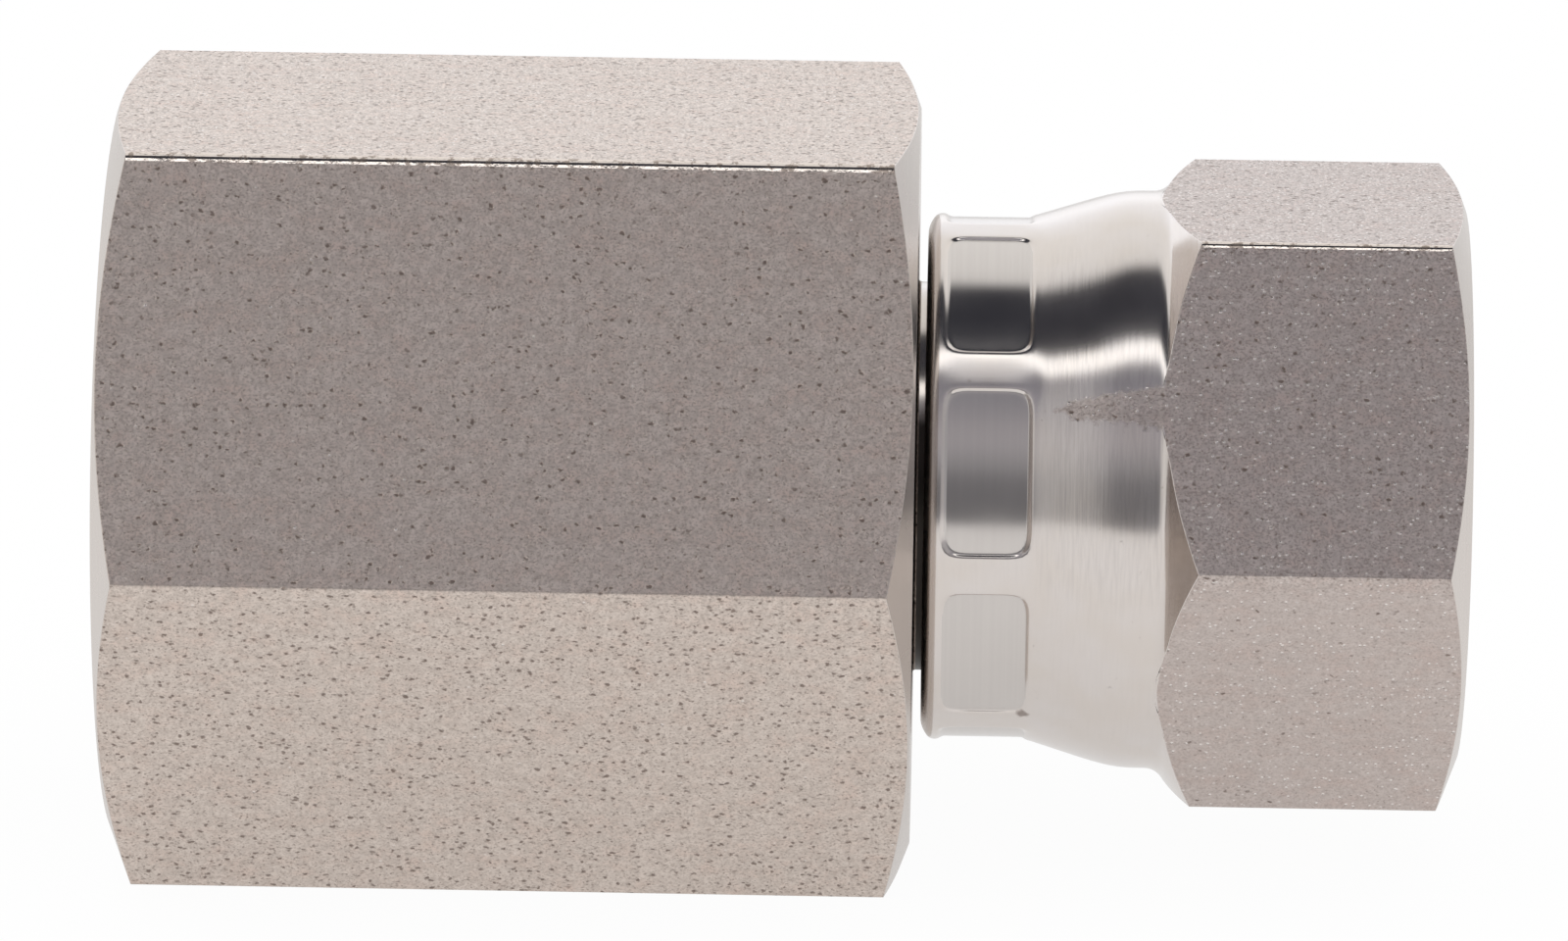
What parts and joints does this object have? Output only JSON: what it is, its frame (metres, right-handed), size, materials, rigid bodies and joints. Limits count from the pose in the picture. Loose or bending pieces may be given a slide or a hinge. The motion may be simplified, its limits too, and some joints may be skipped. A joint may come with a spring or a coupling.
{
  "type": "hydraulic swivel adapter",
  "caption": "Straight steel hydraulic adapter: a hexagon body with a female threaded port at one end and a crimped-on swivel nut over a coned nipple at the other.",
  "frame": {"origin": "centre of the body's port face, on the adapter's axis", "axes": "+X along the axis from the port face to the swivel nut, -Z square to the body flat that the adapter lies on"},
  "size_m": [0.0734, 0.0472, 0.041],
  "materials": {
    "body_steel": "matte, finely pitted stainless steel bar, with turned ends and bores",
    "nut_steel": "matte, finely pitted hexagon flats, with a bright turned waist and skirt",
    "seal_rubber": "smooth black seal rubber"
  },
  "bodies": {
    "body": {"adapter_body": "body_steel", "cone_o_ring": "seal_rubber"},
    "nut": {"swivel_nut": "nut_steel"}
  },
  "joints": [
    {"name": "nut_swivel", "type": "hinge", "parent": "body", "child": "nut", "pos_m": [0.0441, 0, 0], "axis": [1, 0, 0], "continuous": true}
  ]
}
